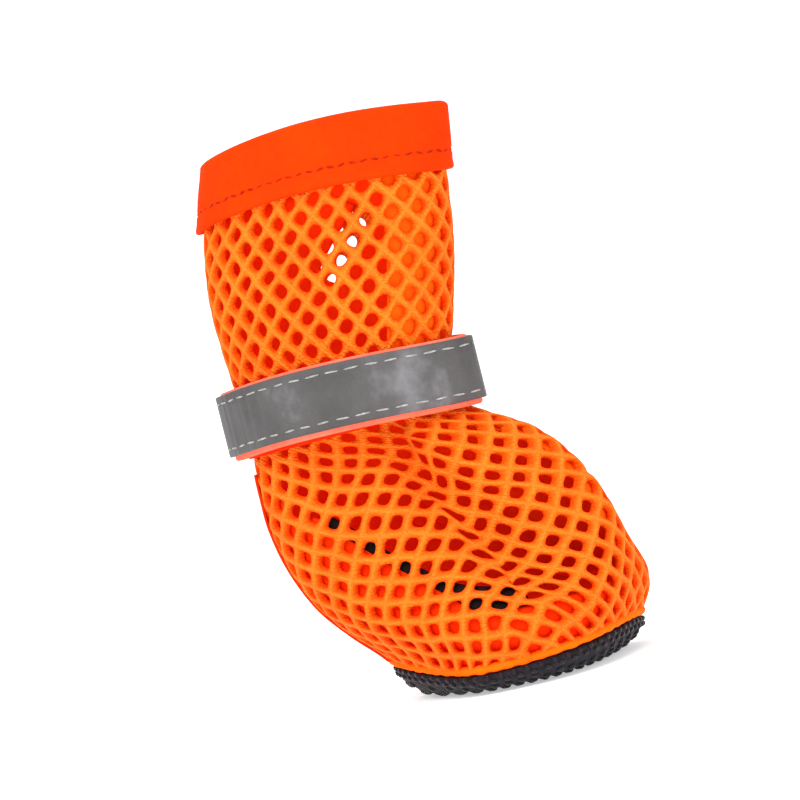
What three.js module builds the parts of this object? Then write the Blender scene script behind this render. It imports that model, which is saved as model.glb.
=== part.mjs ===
// A dog boot of open net, standing empty on its sole.
// Frame: +X to the toe, +Y to the boot's left, +Z up. The origin is on the floor, under the middle of
// the flat of the sole. Lengths are in millimetres, angles in degrees unless a name says radians.

import * as THREE from 'three';

// Driving sizes of the last
const TOE_REACH = 23.0;        // origin to the foremost point of the toe
const HEEL_REACH = 34.2;       // origin to the back of the heel
const BALL_WIDTH = 42.4;       // across the widest part of the foot
const ANKLE_HEIGHT = 48.3;     // floor to the middle of the strap, at its folds
const RIM_HEIGHT = 88.7;       // floor to the net's top edge at the front and back
const RIM_ARCH = 1.8;          // how much higher the top edge is at the sides

// Cloth
const NET_THICKNESS = 1.2;
const SEAM_GAP = 0.3;          // between two pieces that are sewn together

// Sole
const SOLE_THICKNESS = 2.2;
const SOLE_EDGE = 1.6;         // thickness where it meets the net
const SOLE_FLAT = 0.70;        // share of the way to the edge that lies flat
const SIDE_LIFT = 1.6;         // underside of the edge above the floor, at the sides
const TOE_SPRING = 3.2;
const HEEL_LIFT = 4.4;

// Binding at the collar
const BAND_OUTSIDE = 9.6;      // height of the outer leg
const BAND_INSIDE = 8.4;
const BAND_THICKNESS = 0.8;

// Strap, folded flat at the front and the back
const STRAP_MIDDLE = -15.6;    // x of the middle of the loop
const STRAP_HALF_LENGTH = 20.1;
const STRAP_HALF_BREADTH = 13.6;
const STRAP_FOLD = 1.6;        // below 2 the two ends are pinched into folds
const STRAP_WIDTH = 11.0;
const STRAP_THICKNESS = 1.2;
const STRAP_ARCH = 1.0;        // how much higher it runs at the sides
const FREE_END = 118;          // angle of the free end, on the left side
const OVERLAP_START = 70;      // where the free end starts to lie on the fixed end
const TAPE_WIDTH = 9.8;
const TAPE_THICKNESS = 0.5;
const TAPE_DROP = 0.4;         // from the strap's upper edge to the tape's
const TAPE_START = -177;

// Patch of plain cloth at the back of the heel
const PATCH_THICKNESS = 0.6;
const PATCH_FOOT = 6.5;        // half widths at its lower and upper ends
const PATCH_TOP = 5.2;
const PATCH_MARGIN = 0.6;      // above the sole and below the ankle band

// Plain tape over the seam of shaft and foot, under the strap
const ANKLE_THICKNESS = 0.6;
const ANKLE_TOP = 50.0;
const ANKLE_FOOT = 40.7;       // shows below the strap at the back
const ANKLE_FOOT_FRONT = 43.9; // hidden by the strap at the front

// How finely the solids are faceted: rows of the foot, the ankle and the shaft
const AROUND = 56;
const FOOT_ROWS = 13;
const ANKLE_ROWS = 5;
const SHAFT_ROWS = 7;

// Level sections of the last, from the sole's edge to the collar. Height and widest are in mm; toe,
// heel and breadth are shares of the reaches and of the ball width. toeForm and heelForm are the
// powers of the superellipse: 3 is square, 2 is round, under 1.5 is pointed.
const SECTIONS = [
  { height: 4.5, widest: 3.0, breadth: 0.910, toe: 0.870, heel: 0.515, toeForm: 3.0, heelForm: 1.40 },
  { height: 8.5, widest: 3.0, breadth: 1.000, toe: 0.966, heel: 0.610, toeForm: 3.0, heelForm: 1.50 },
  { height: 12.0, widest: 1.5, breadth: 1.000, toe: 1.000, heel: 0.705, toeForm: 2.8, heelForm: 1.70 },
  { height: 17.5, widest: -3.0, breadth: 0.850, toe: 0.990, heel: 0.832, toeForm: 2.2, heelForm: 2.00 },
  { height: 24.5, widest: -9.0, breadth: 0.708, toe: 0.944, heel: 0.925, toeForm: 1.8, heelForm: 2.20 },
  { height: 31.5, widest: -13.0, breadth: 0.613, toe: 0.800, heel: 0.974, toeForm: 1.7, heelForm: 2.20 },
  { height: 37.5, widest: -15.0, breadth: 0.557, toe: 0.560, heel: 0.985, toeForm: 1.8, heelForm: 2.10 },
  { height: 41.3, widest: -15.4, breadth: 0.540, toe: 0.270, heel: 0.988, toeForm: 1.8, heelForm: 1.90 },
  { height: 42.9, widest: -15.6, breadth: 0.535, toe: 0.147, heel: 0.986, toeForm: 1.8, heelForm: 1.80 },
  { height: 45.1, widest: -15.8, breadth: 0.530, toe: 0.076, heel: 0.982, toeForm: 1.8, heelForm: 1.75 },
  { height: 48.5, widest: -15.8, breadth: 0.530, toe: 0.066, heel: 0.980, toeForm: 1.8, heelForm: 1.75 },
  { height: 56.5, widest: -15.5, breadth: 0.550, toe: 0.172, heel: 0.994, toeForm: 2.0, heelForm: 2.10 },
  { height: 68.5, widest: -14.0, breadth: 0.530, toe: 0.312, heel: 1.003, toeForm: 2.2, heelForm: 2.20 },
  { height: 80.5, widest: -12.0, breadth: 0.448, toe: 0.402, heel: 0.945, toeForm: 2.1, heelForm: 2.10 },
  { height: 91.5, widest: -9.0, breadth: 0.382, toe: 0.485, heel: 0.835, toeForm: 2.0, heelForm: 2.00 },
];

// Folds in the slack net, each a straight trough (depth over 0) or ridge (under 0) seen from the side.
const FOLDS = [
  { side: -1, fromX: -8, fromZ: 40, toX: 11, toZ: 14, depth: 1.6, breadth: 4.0 },
  { side: 1, fromX: -7, fromZ: 39, toX: 10, toZ: 15, depth: 1.3, breadth: 4.5 },
  { side: -1, fromX: -30, fromZ: 36, toX: -14, toZ: 39, depth: 0.6, breadth: 3.5 },
  { side: 1, fromX: -28, fromZ: 65, toX: -12, toZ: 58, depth: 0.8, breadth: 4.0 },
  { side: -1, fromX: -22, fromZ: 75, toX: -8, toZ: 59, depth: 0.5, breadth: 5.0 },
];

const radians = (degrees) => THREE.MathUtils.degToRad(degrees);

// The section at a height, in mm, by a Hermite curve through the table's rows. The slope of each size
// comes with it, so that a wall on a slope keeps its true thickness.
const COLUMNS = ['widest', 'breadth', 'toe', 'heel', 'toeForm', 'heelForm'];
const SCALES = {
  widest: 1, breadth: BALL_WIDTH / 2, toe: TOE_REACH, heel: -HEEL_REACH, toeForm: 1, heelForm: 1,
};

function rowSlope(index, column) {
  const before = SECTIONS[Math.max(index - 1, 0)];
  const after = SECTIONS[Math.min(index + 1, SECTIONS.length - 1)];
  return (after[column] - before[column]) / (after.height - before.height);
}

function sectionAt(height) {
  const level = THREE.MathUtils.clamp(height, SECTIONS[0].height, SECTIONS.at(-1).height);
  let index = 0;
  while (index < SECTIONS.length - 2 && SECTIONS[index + 1].height < level) index += 1;
  const lower = SECTIONS[index];
  const upper = SECTIONS[index + 1];
  const span = upper.height - lower.height;
  const t = (level - lower.height) / span;
  const size = {};
  const slope = {};
  for (const column of COLUMNS) {
    const a = lower[column];
    const b = upper[column];
    const slopeA = rowSlope(index, column) * span;
    const slopeB = rowSlope(index + 1, column) * span;
    const cubic = 2 * a - 2 * b + slopeA + slopeB;
    const square = 3 * b - 3 * a - 2 * slopeA - slopeB;
    size[column] = (((cubic * t + square) * t + slopeA) * t + a) * SCALES[column];
    slope[column] = ((3 * cubic * t + 2 * square) * t + slopeA) / span * SCALES[column];
  }
  return { size, slope };
}

// How far the folds pull the wall in at a point of one side.
function foldDepth(x, y, z) {
  let depth = 0;
  for (const fold of FOLDS) {
    const alongX = fold.toX - fold.fromX;
    const alongZ = fold.toZ - fold.fromZ;
    const share = ((x - fold.fromX) * alongX + (z - fold.fromZ) * alongZ) / (alongX ** 2 + alongZ ** 2);
    const nearest = THREE.MathUtils.clamp(share, 0, 1);
    const away = Math.hypot(x - fold.fromX - nearest * alongX, z - fold.fromZ - nearest * alongZ);
    const facing = THREE.MathUtils.smoothstep(y * fold.side, 1.0, 6.0);
    depth += fold.depth * facing * Math.exp(-((away / fold.breadth) ** 2));
  }
  return depth;
}

// A point of the net's outer surface, or of the surface a set distance outside it (inside, if below
// zero). The angle is in radians: 0 at the toe, a quarter turn at the boot's left.
function netPoint(angle, height, offset = 0) {
  const { size, slope } = sectionAt(height);
  const across = Math.cos(angle);
  const side = Math.sin(angle);
  const form = across >= 0 ? size.toeForm : size.heelForm;
  const toe = size.toe + offset * Math.hypot(1, slope.toe);
  const heel = size.heel - offset * Math.hypot(1, slope.heel);
  const reach = across >= 0 ? toe - size.widest : size.widest - heel;
  const breadth = size.breadth + offset * Math.hypot(1, slope.breadth);
  const radius = (Math.abs(across) ** form + Math.abs(side) ** form) ** (-1 / form);
  const x = size.widest + reach * across * radius;
  const y = breadth * side * radius;
  return new THREE.Vector3(x, y - Math.sign(y) * foldDepth(x, y, height), height);
}

// A point of the back of the net at a set distance from the centre-back line.
function backPoint(y, height, offset) {
  const { size, slope } = sectionAt(height);
  const breadth = size.breadth + offset * Math.hypot(1, slope.breadth);
  const heel = size.heel - offset * Math.hypot(1, slope.heel);
  const share = (1 - Math.abs(y / breadth) ** size.heelForm) ** (1 / size.heelForm);
  const x = size.widest - (size.widest - heel) * share;
  return new THREE.Vector3(x, y - Math.sign(y) * foldDepth(x, y, height), height);
}

// Height of the underside of the sole's edge: lowest at the sides, curled up at toe and heel.
function edgeLift(angle) {
  const forward = Math.cos(angle);
  const end = forward > 0 ? TOE_SPRING : HEEL_LIFT;
  return SIDE_LIFT + (end - SIDE_LIFT) * forward ** 2;
}

const soleEdgeTop = (angle) => edgeLift(angle) + SOLE_EDGE;
const netFoot = (angle) => soleEdgeTop(angle) + SEAM_GAP;
const rimHeight = (angle) => RIM_HEIGHT + RIM_ARCH * Math.sin(angle) ** 2;

// Meshes

function toGeometry(points, faces) {
  const geometry = new THREE.BufferGeometry();
  geometry.setAttribute('position', new THREE.Float32BufferAttribute(points.flatMap((p) => p.toArray()), 3));
  geometry.setIndex(faces.flat());
  return geometry;
}

function quad(faces, a, b, c, d) {
  faces.push([a, b, c], [a, c, d]);
}

// A wall between two surfaces that share their two parameters, closed along all its edges. In a
// ring the last column joins the first.
function wallBetween(outer, inner, columns, rows, ring) {
  const points = [];
  for (const surface of [outer, inner]) {
    for (const column of columns) {
      for (let row = 0; row <= rows; row += 1) points.push(surface(column, row / rows));
    }
  }
  const faces = [];
  const innerStart = columns.length * (rows + 1);
  const at = (column, row) => (column % columns.length) * (rows + 1) + row;
  const steps = ring ? columns.length : columns.length - 1;
  for (let column = 0; column < steps; column += 1) {
    const next = column + 1;
    for (let row = 0; row < rows; row += 1) {
      quad(faces, at(column, row), at(next, row), at(next, row + 1), at(column, row + 1));
      quad(faces, innerStart + at(column, row), innerStart + at(column, row + 1),
        innerStart + at(next, row + 1), innerStart + at(next, row));
    }
    quad(faces, innerStart + at(column, 0), innerStart + at(next, 0), at(next, 0), at(column, 0));
    quad(faces, at(column, rows), at(next, rows), innerStart + at(next, rows), innerStart + at(column, rows));
  }
  for (let row = 0; row < rows && !ring; row += 1) {
    const last = columns.length - 1;
    quad(faces, at(0, row), at(0, row + 1), innerStart + at(0, row + 1), innerStart + at(0, row));
    quad(faces, innerStart + at(last, row), innerStart + at(last, row + 1), at(last, row + 1), at(last, row));
  }
  return toGeometry(points, faces);
}

// A closed profile carried round the boot. The profile runs up outside and down inside.
function ringOf(profile, columns) {
  const points = columns.flatMap((angle) => profile.map((corner) => corner(angle)));
  const faces = [];
  const at = (column, corner) => (column % columns.length) * profile.length + (corner % profile.length);
  for (let column = 0; column < columns.length; column += 1) {
    for (let corner = 0; corner < profile.length; corner += 1) {
      const next = column + 1;
      quad(faces, at(column, corner), at(next, corner), at(next, corner + 1), at(column, corner + 1));
    }
  }
  return toGeometry(points, faces);
}

// A disc-like solid: rings of points from the middle of the underside, round the edge, to the middle
// of the top.
function cushionOf(levels, columns, middle) {
  const points = [middle.under, middle.top];
  const faces = [];
  for (const level of levels) points.push(...columns.map(level));
  const at = (ring, column) => 2 + ring * columns.length + (column % columns.length);
  for (let column = 0; column < columns.length; column += 1) {
    faces.push([0, at(0, column + 1), at(0, column)]);
    faces.push([1, at(levels.length - 1, column), at(levels.length - 1, column + 1)]);
    for (let ring = 0; ring < levels.length - 1; ring += 1) {
      quad(faces, at(ring, column), at(ring, column + 1), at(ring + 1, column + 1), at(ring + 1, column));
    }
  }
  return toGeometry(points, faces);
}

function evenAngles(count) {
  return Array.from({ length: count }, (_, index) => (index * 2 * Math.PI) / count);
}

// Pieces

// Lower edge of the ankle band, which drops towards the back.
const ankleFoot = (angle) => THREE.MathUtils.lerp(ANKLE_FOOT, ANKLE_FOOT_FRONT, (1 + Math.cos(angle)) / 2);

// The net, shaft and foot in one tube. At the ankle its rows are those of the band that covers it.
function makeUpper() {
  const rows = FOOT_ROWS + ANKLE_ROWS + SHAFT_ROWS;
  const heightAt = (angle, share) => {
    const row = Math.round(share * rows);
    const lower = ankleFoot(angle);
    if (row <= FOOT_ROWS) return THREE.MathUtils.lerp(netFoot(angle), lower, row / FOOT_ROWS);
    if (row <= FOOT_ROWS + ANKLE_ROWS) {
      return THREE.MathUtils.lerp(lower, ANKLE_TOP, (row - FOOT_ROWS) / ANKLE_ROWS);
    }
    return THREE.MathUtils.lerp(ANKLE_TOP, rimHeight(angle), (row - FOOT_ROWS - ANKLE_ROWS) / SHAFT_ROWS);
  };
  const outer = (angle, share) => netPoint(angle, heightAt(angle, share));
  const inner = (angle, share) => netPoint(angle, heightAt(angle, share), -NET_THICKNESS);
  return wallBetween(outer, inner, evenAngles(AROUND), rows, true);
}

// The sole's outline is the net's own foot line. Each level is a share of the way from the middle to
// that line: flat first, then curling up to the edge.
function makeSole() {
  const middle = new THREE.Vector3(1, 0, 0);
  const curl = (share) => Math.max((share - SOLE_FLAT) / (1 - SOLE_FLAT), 0) ** 2;
  const level = (share, rise) => (angle) => {
    const edge = netPoint(angle, netFoot(angle));
    const point = new THREE.Vector3().lerpVectors(middle, edge, share);
    point.z = edgeLift(angle) * curl(share) + rise;
    return point;
  };
  const levels = [];
  for (const share of [0.4, SOLE_FLAT, 0.82, 0.9, 0.96]) levels.push(level(share, 0));
  levels.push(level(1, SOLE_EDGE * 0.25), level(1, SOLE_EDGE));
  for (const share of [0.92, 0.84, SOLE_FLAT, 0.4]) {
    const thickness = THREE.MathUtils.mapLinear(share, 0.92, SOLE_FLAT, SOLE_EDGE, SOLE_THICKNESS);
    levels.push(level(share, Math.min(thickness, SOLE_THICKNESS)));
  }
  const top = middle.clone().setZ(SOLE_THICKNESS);
  return cushionOf(levels, evenAngles(AROUND), { under: middle, top });
}

// Cloth tape folded over the top edge of the net: outer leg, round fold, inner leg.
function makeCollarBand() {
  const outerFace = SEAM_GAP + BAND_THICKNESS;
  const innerGap = -NET_THICKNESS - SEAM_GAP;
  const innerFace = innerGap - BAND_THICKNESS;
  const crown = SEAM_GAP + BAND_THICKNESS;
  const corner = (offset, rise) => (angle) => {
    const point = netPoint(angle, rimHeight(angle) + Math.min(rise, 0), offset);
    point.z = rimHeight(angle) + rise;
    return point;
  };
  const profile = [
    corner(outerFace, -BAND_OUTSIDE),
    corner(outerFace, -BAND_OUTSIDE / 2),
    corner(outerFace, 0),
    corner(outerFace * 0.6, crown * 0.8),
    corner((outerFace + innerFace) / 2, crown),
    corner(innerFace * 0.85, crown * 0.8),
    corner(innerFace, 0),
    corner(innerFace, -BAND_INSIDE / 2),
    corner(innerFace, -BAND_INSIDE),
    corner(innerGap, -BAND_INSIDE),
    corner(innerGap, -BAND_INSIDE / 2),
    corner(innerGap, SEAM_GAP),
    corner(SEAM_GAP, SEAM_GAP),
    corner(SEAM_GAP, -BAND_OUTSIDE / 2),
    corner(SEAM_GAP, -BAND_OUTSIDE),
  ];
  return ringOf(profile, evenAngles(AROUND));
}

// A point of the strap's loop: a superellipse pinched at its two ends, a set distance out from the
// inside of the strap.
function strapPoint(angle, rise, offset) {
  const along = Math.cos(angle);
  const side = Math.sin(angle);
  const radius = (Math.abs(along) ** STRAP_FOLD + Math.abs(side) ** STRAP_FOLD) ** (-1 / STRAP_FOLD);
  const x = STRAP_MIDDLE + (STRAP_HALF_LENGTH + offset) * along * radius;
  const y = (STRAP_HALF_BREADTH + offset) * side * radius;
  return new THREE.Vector3(x, y, ANKLE_HEIGHT + STRAP_ARCH * side ** 2 + rise);
}

// The strap is one layer thick, and two where its free end lies on the fixed end.
function strapDepth(degrees) {
  const rising = THREE.MathUtils.smoothstep(degrees, 30, OVERLAP_START);
  return STRAP_THICKNESS * (degrees < FREE_END ? 1 + rising : 1);
}

function makeStrap() {
  const columns = [];
  const step = 360 / AROUND;
  for (let degrees = -180; degrees < 180; degrees += step) {
    if (Math.abs(degrees - FREE_END) > 1.5) columns.push(degrees);
  }
  columns.push(FREE_END - 0.4, FREE_END + 0.4);
  columns.sort((a, b) => a - b);
  const rise = (share) => (share - 0.5) * STRAP_WIDTH;
  const outer = (degrees, share) => strapPoint(radians(degrees), rise(share), strapDepth(degrees));
  const inner = (degrees, share) => strapPoint(radians(degrees), rise(share), 0);
  return wallBetween(outer, inner, columns, 2, true);
}

function makeTape() {
  const columns = [];
  const last = FREE_END - 1.5;
  const steps = Math.round((last - TAPE_START) / (360 / AROUND));
  for (let index = 0; index <= steps; index += 1) {
    columns.push(THREE.MathUtils.lerp(TAPE_START, last, index / steps));
  }
  const rise = (share) => STRAP_WIDTH / 2 - TAPE_DROP - TAPE_WIDTH * (1 - share);
  const depth = (degrees) => strapDepth(degrees) + SEAM_GAP;
  const outer = (degrees, share) =>
    strapPoint(radians(degrees), rise(share), depth(degrees) + TAPE_THICKNESS);
  const inner = (degrees, share) => strapPoint(radians(degrees), rise(share), depth(degrees));
  return wallBetween(outer, inner, columns, 2, false);
}

// Tape round the ankle over the seam of shaft and foot.
function makeAnkleBand() {
  const surface = (offset) => (angle, share) =>
    netPoint(angle, THREE.MathUtils.lerp(ankleFoot(angle), ANKLE_TOP, share), offset);
  const outer = surface(SEAM_GAP + ANKLE_THICKNESS);
  return wallBetween(outer, surface(SEAM_GAP), evenAngles(AROUND), ANKLE_ROWS, true);
}

// Plain cloth over the net, from the heel point of the sole to the ankle band.
function makeHeelPatch() {
  const foot = netFoot(Math.PI) + PATCH_MARGIN;
  const top = ANKLE_FOOT - PATCH_MARGIN;
  const columns = Array.from({ length: 11 }, (_, index) => 1 - index / 5);
  const surface = (offset) => (across, share) => {
    const height = THREE.MathUtils.lerp(foot, top, share);
    return backPoint(across * THREE.MathUtils.lerp(PATCH_FOOT, PATCH_TOP, share), height, offset);
  };
  return wallBetween(surface(SEAM_GAP + PATCH_THICKNESS), surface(SEAM_GAP), columns, 10, false);
}

const PIECES = [
  { name: 'upper', make: makeUpper, colour: 0xff8a22, roughness: 0.75 },
  { name: 'sole', make: makeSole, colour: 0x17151a, roughness: 0.8 },
  { name: 'collar_band', make: makeCollarBand, colour: 0xff4b0a, roughness: 0.7 },
  { name: 'ankle_band', make: makeAnkleBand, colour: 0xf04a12, roughness: 0.75 },
  { name: 'strap', make: makeStrap, colour: 0xff7a5e, roughness: 0.8 },
  { name: 'reflective_tape', make: makeTape, colour: 0x787676, roughness: 0.4 },
  { name: 'heel_patch', make: makeHeelPatch, colour: 0xf04a12, roughness: 0.75 },
];

const boot = new THREE.Group();
for (const { name, make, colour, roughness } of PIECES) {
  const material = new THREE.MeshStandardMaterial({ color: colour, roughness, metalness: 0 });
  const mesh = new THREE.Mesh(make(), material);
  mesh.name = name;
  boot.add(mesh);
}

export default boot;
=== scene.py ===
"""A dog boot of open net: shaft and foot of net, folded collar tape, ankle tape, heel cloth, a strap
with reflective tape, and a dotted sole. Lengths in the tables are millimetres; meshes are metres.
Frame: +X to the toe, +Y to the boot's left, +Z up, origin on the floor under the sole's flat."""
import math

import bpy
import numpy as np
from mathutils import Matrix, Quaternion, Vector


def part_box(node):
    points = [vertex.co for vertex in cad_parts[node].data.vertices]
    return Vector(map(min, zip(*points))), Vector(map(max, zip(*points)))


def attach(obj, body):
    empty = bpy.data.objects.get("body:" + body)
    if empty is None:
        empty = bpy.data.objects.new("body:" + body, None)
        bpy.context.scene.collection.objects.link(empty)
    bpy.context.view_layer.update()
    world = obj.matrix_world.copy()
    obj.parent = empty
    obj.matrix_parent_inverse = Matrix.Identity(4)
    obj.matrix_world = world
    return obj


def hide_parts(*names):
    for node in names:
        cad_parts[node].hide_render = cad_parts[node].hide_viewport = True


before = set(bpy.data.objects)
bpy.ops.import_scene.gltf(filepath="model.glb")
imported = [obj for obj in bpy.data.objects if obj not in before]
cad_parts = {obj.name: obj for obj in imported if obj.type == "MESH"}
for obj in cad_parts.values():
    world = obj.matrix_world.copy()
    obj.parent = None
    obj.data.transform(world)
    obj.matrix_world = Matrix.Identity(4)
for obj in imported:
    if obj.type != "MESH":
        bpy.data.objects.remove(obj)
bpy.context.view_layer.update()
MM = 0.001
RANDOM = np.random.default_rng(20)


def box_mm(node):
    """The lowest and highest corners of a CAD node, in millimetres."""
    low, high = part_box(node)
    return np.array(low) / MM, np.array(high) / MM


# Driving sizes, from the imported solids
UPPER_LOW, UPPER_HIGH = box_mm("upper")
STRAP_LOW, STRAP_HIGH = box_mm("strap")
TOE_REACH = UPPER_HIGH[0]
HEEL_BULGE = 1.0045      # how far the cubic between two sections swells past the largest heel share
HEEL_REACH = -UPPER_LOW[0] / HEEL_BULGE
BALL_WIDTH = 42.4
RIM_ARCH = 1.8
RIM_HEIGHT = UPPER_HIGH[2] - RIM_ARCH
SOLE_EDGE = 1.6
SOLE_THICKNESS = 2.2
SOLE_FLAT = 0.70
SIDE_LIFT = 1.6
TOE_SPRING = 3.2
HEEL_LIFT = 4.4
SEAM_GAP = 0.3
NET_THICKNESS = 1.2
STRAP_THICKNESS = 1.2
STRAP_WIDTH = 11.0
STRAP_ARCH = 1.0
STRAP_FOLD = 1.6
STRAP_MIDDLE = (STRAP_LOW[0] + STRAP_HIGH[0]) / 2
STRAP_HALF_LENGTH = (STRAP_HIGH[0] - STRAP_LOW[0]) / 2 - STRAP_THICKNESS
STRAP_HALF_BREADTH = 13.6
ANKLE_HEIGHT = STRAP_LOW[2] + STRAP_WIDTH / 2
FREE_END = 118.0
OVERLAP_START = 70.0
ANKLE_TOP = 50.0
ANKLE_FOOT = 40.7
ANKLE_FOOT_FRONT = 43.9
ANKLE_HIDDEN = 2.0       # how much higher the tape's edge is at the back than the solid's
PEEP_DEPTH, PEEP_ANGLE, PEEP_BREADTH = 1.6, 1.05, 0.42
NET_JOIN = 46.6          # where the net of the shaft meets the net of the foot, under the strap

# Level sections of the last. Height and widest in mm, breadth, toe and heel as shares of the reaches,
# and the powers of the superellipse in front of and behind the widest place.
SECTION_NAMES = ("height", "widest", "breadth", "toe", "heel", "toe_form", "heel_form")
SECTIONS = np.array([
    (4.5, 3.0, 0.910, 0.870, 0.515, 3.0, 1.40),
    (8.5, 3.0, 1.000, 0.966, 0.610, 3.0, 1.50),
    (12.0, 1.5, 1.000, 1.000, 0.705, 2.8, 1.70),
    (17.5, -3.0, 0.850, 0.990, 0.832, 2.2, 2.00),
    (24.5, -9.0, 0.708, 0.944, 0.925, 1.8, 2.20),
    (31.5, -13.0, 0.613, 0.800, 0.974, 1.7, 2.20),
    (37.5, -15.0, 0.557, 0.560, 0.985, 1.8, 2.10),
    (41.3, -15.4, 0.540, 0.270, 0.988, 1.8, 1.90),
    (42.9, -15.6, 0.535, 0.147, 0.986, 1.8, 1.80),
    (45.1, -15.8, 0.530, 0.076, 0.982, 1.8, 1.75),
    (48.5, -15.8, 0.530, 0.066, 0.980, 1.8, 1.75),
    (56.5, -15.5, 0.550, 0.172, 0.994, 2.0, 2.10),
    (68.5, -14.0, 0.530, 0.312, 1.003, 2.2, 2.20),
    (80.5, -12.0, 0.448, 0.402, 0.945, 2.1, 2.10),
    (91.5, -9.0, 0.382, 0.485, 0.835, 2.0, 2.00),
])
SECTION_SCALES = np.array([1, 1, BALL_WIDTH / 2, TOE_REACH, -HEEL_REACH, 1, 1])

# Creases of the slack net. Each is a straight line seen from the side it lies on: the side (-1 is the
# boot's right), its start and end in x and z, its depth (over zero for a trough, under zero for a
# ridge) and its breadth.
FOLDS = np.array([
    (-1, -8, 40, 11, 14, 1.6, 4.0),
    (-1, -5, 35, 6, 21, 1.5, 3.8),
    (-1, -7, 43, -3, 31, 1.9, 1.7),
    (-1, -14, 16, 12, 9, -1.0, 4.5),
    (-1, 1, 39, 15, 26, -1.3, 3.2),
    (1, -7, 39, 10, 15, 1.3, 4.5),
    (1, -6, 37, 8, 20, 1.0, 2.8),
    (-1, -30, 36, -14, 39, 0.6, 3.5),
    (1, -28, 65, -12, 58, 0.8, 4.0),
    (-1, -22, 75, -8, 59, 0.5, 5.0),
    (-1, -3, 72, 1, 52, 0.5, 3.0),
    (1, -20, 76, -6, 60, 0.6, 4.0),
])


def smooth(value, low, high):
    """Zero below low and one above high, with the smooth cubic between."""
    t = np.clip((value - low) / (high - low), 0, 1)
    return t * t * (3 - 2 * t)


def blend_of(a, b, share):
    """The value a share of the way from a to b."""
    return a + (b - a) * share


def section_at(height):
    """The section's sizes and their slopes at each height: a cubic between the table's rows whose
    slope at a row is the rise between its two neighbours over their distance."""
    heights = SECTIONS[:, 0]
    level = np.clip(height, heights[0], heights[-1])
    low = np.clip(np.searchsorted(heights, level) - 1, 0, len(heights) - 2)
    rows = np.arange(len(heights))
    before = SECTIONS[np.maximum(rows - 1, 0)]
    after = SECTIONS[np.minimum(rows + 1, len(rows) - 1)]
    slopes = (after - before) / (after[:, :1] - before[:, :1])
    span = (heights[low + 1] - heights[low])[..., None]
    t = (level - heights[low])[..., None] / span
    a, b = SECTIONS[low], SECTIONS[low + 1]
    slope_a, slope_b = slopes[low] * span, slopes[low + 1] * span
    cubic = 2 * a - 2 * b + slope_a + slope_b
    square = 3 * b - 3 * a - 2 * slope_a - slope_b
    size = (((cubic * t + square) * t + slope_a) * t + a) * SECTION_SCALES
    slope = ((3 * cubic * t + 2 * square) * t + slope_a) / span * SECTION_SCALES
    names = enumerate(SECTION_NAMES)
    return {name: size[..., i] for i, name in names}, dict(zip(SECTION_NAMES, np.moveaxis(slope, -1, 0)))


FOLD_FADE = (1.0, 6.0)   # distances from the centre plane between which a crease fades in


def fold_depth(x, y, z):
    """The sum over the creases of depth times a bell curve of the distance to the crease's line."""
    depth = 0
    for side, from_x, from_z, to_x, to_z, deep, breadth in FOLDS:
        along_x, along_z = to_x - from_x, to_z - from_z
        share = ((x - from_x) * along_x + (z - from_z) * along_z) / (along_x**2 + along_z**2)
        nearest = np.clip(share, 0, 1)
        away = np.hypot(x - from_x - nearest * along_x, z - from_z - nearest * along_z)
        depth = depth + deep * smooth(y * side, *FOLD_FADE) * np.exp(-((away / breadth) ** 2))
    return depth


def net_point(angle, height, offset=0.0):
    """A point of the net's outer surface, or of the surface a distance outside it. At a height the
    outline is a superellipse, whose two ends reach the toe and the heel; creases pull it inwards."""
    angle, height, offset = np.broadcast_arrays(angle, height, offset)
    size, slope = section_at(height)
    across, side = np.cos(angle), np.sin(angle)
    front = across >= 0
    form = np.where(front, size["toe_form"], size["heel_form"])
    toe = size["toe"] + offset * np.hypot(1, slope["toe"])
    heel = size["heel"] - offset * np.hypot(1, slope["heel"])
    reach = np.where(front, toe - size["widest"], size["widest"] - heel)
    breadth = size["breadth"] + offset * np.hypot(1, slope["breadth"])
    radius = (np.abs(across) ** form + np.abs(side) ** form) ** (-1 / form)
    x = size["widest"] + reach * across * radius
    y = breadth * side * radius
    y = y - np.sign(y) * fold_depth(x, y, height)
    return np.stack([x, y, height + 0.0], -1)


def back_point(y, height, offset):
    """A point of the back of the net at a distance from the centre-back line."""
    y, height, offset = np.broadcast_arrays(y, height, offset)
    size, slope = section_at(height)
    breadth = size["breadth"] + offset * np.hypot(1, slope["breadth"])
    heel = size["heel"] - offset * np.hypot(1, slope["heel"])
    share = (1 - np.abs(y / breadth) ** size["heel_form"]) ** (1 / size["heel_form"])
    x = size["widest"] - (size["widest"] - heel) * share
    return np.stack([x, y - np.sign(y) * fold_depth(x, y, height), height + 0.0], -1)


def edge_lift(angle):
    """Height of the underside of the sole's edge: lowest at the sides, curled up at toe and heel."""
    forward = np.cos(angle)
    end = np.where(forward > 0, TOE_SPRING, HEEL_LIFT)
    return SIDE_LIFT + (end - SIDE_LIFT) * forward**2


def net_foot(angle):
    """Height of the net's lower edge, a seam's gap above the sole."""
    return edge_lift(angle) + SOLE_EDGE + SEAM_GAP


def rim_height(angle):
    """Height of the net's top edge, which arches up at both sides by the square of the sine."""
    return RIM_HEIGHT + RIM_ARCH * np.sin(angle) ** 2


def ankle_foot(angle):
    """Lower edge of the ankle tape: lowest at the right front, where a bell curve of the angle lets it
    peep out below the strap, and hidden behind the strap elsewhere."""
    level = blend_of(ANKLE_FOOT + ANKLE_HIDDEN, ANKLE_FOOT_FRONT, (1 + np.cos(angle)) / 2)
    return level - PEEP_DEPTH * np.exp(-(((angle + PEEP_ANGLE) / PEEP_BREADTH) ** 2))


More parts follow.
